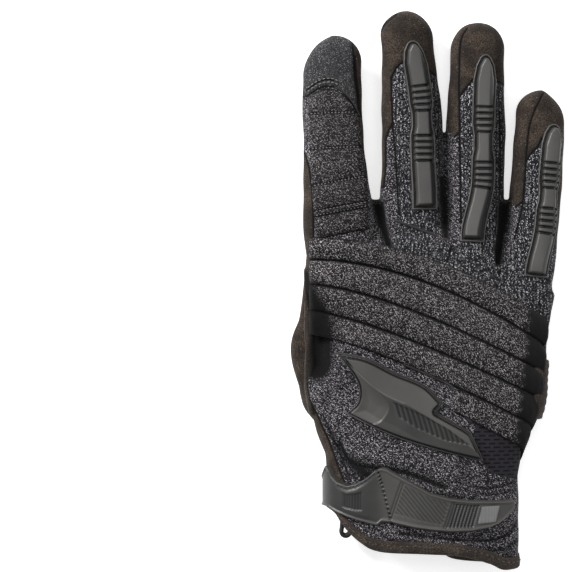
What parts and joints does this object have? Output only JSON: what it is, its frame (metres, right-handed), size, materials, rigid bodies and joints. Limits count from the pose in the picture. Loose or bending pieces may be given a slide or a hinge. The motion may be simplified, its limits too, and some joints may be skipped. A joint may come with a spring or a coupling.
{
  "type": "impact glove",
  "caption": "Right-hand impact work glove with a ribbed knuckle pad, moulded finger guards and hand plate, leather palm pads and a wrist strap.",
  "frame": {"origin": "centre of the glove's outline as seen from above, on the surface that it lies on", "axes": "+Y from the cuff to the fingertips, +X to the little finger, +Z out of the back of the hand"},
  "size_m": [0.1238, 0.2494, 0.0339],
  "materials": {
    "knit": "charcoal stretch knit and mesh",
    "suede": "brown-black synthetic suede",
    "rubber": "satin moulded thermoplastic rubber",
    "grip": "coarse-grained grey grip leather",
    "webbing": "woven black webbing",
    "reflector": "grey reflective film"
  },
  "bodies": {
    "root": {"back_panel": "knit", "cuff_back": "knit", "knuckle_pad": "knit", "index_pad": "knit", "palm_panel": "suede", "cuff_palm": "suede", "index_finger": "suede", "middle_finger": "suede", "ring_finger": "suede", "little_finger": "suede", "thumb": "suede", "palm_overlay": "suede", "side_tab": "suede", "thumb_gusset": "suede", "middle_guard": "rubber", "ring_guard": "rubber", "little_guard": "rubber", "hand_plate": "rubber", "closure_strap": "rubber", "heel_pad": "grip", "index_tip_pad": "grip", "middle_tip_pad": "grip", "ring_tip_pad": "grip", "pull_loop": "webbing", "strap_reflector": "reflector"}
  },
  "joints": []
}
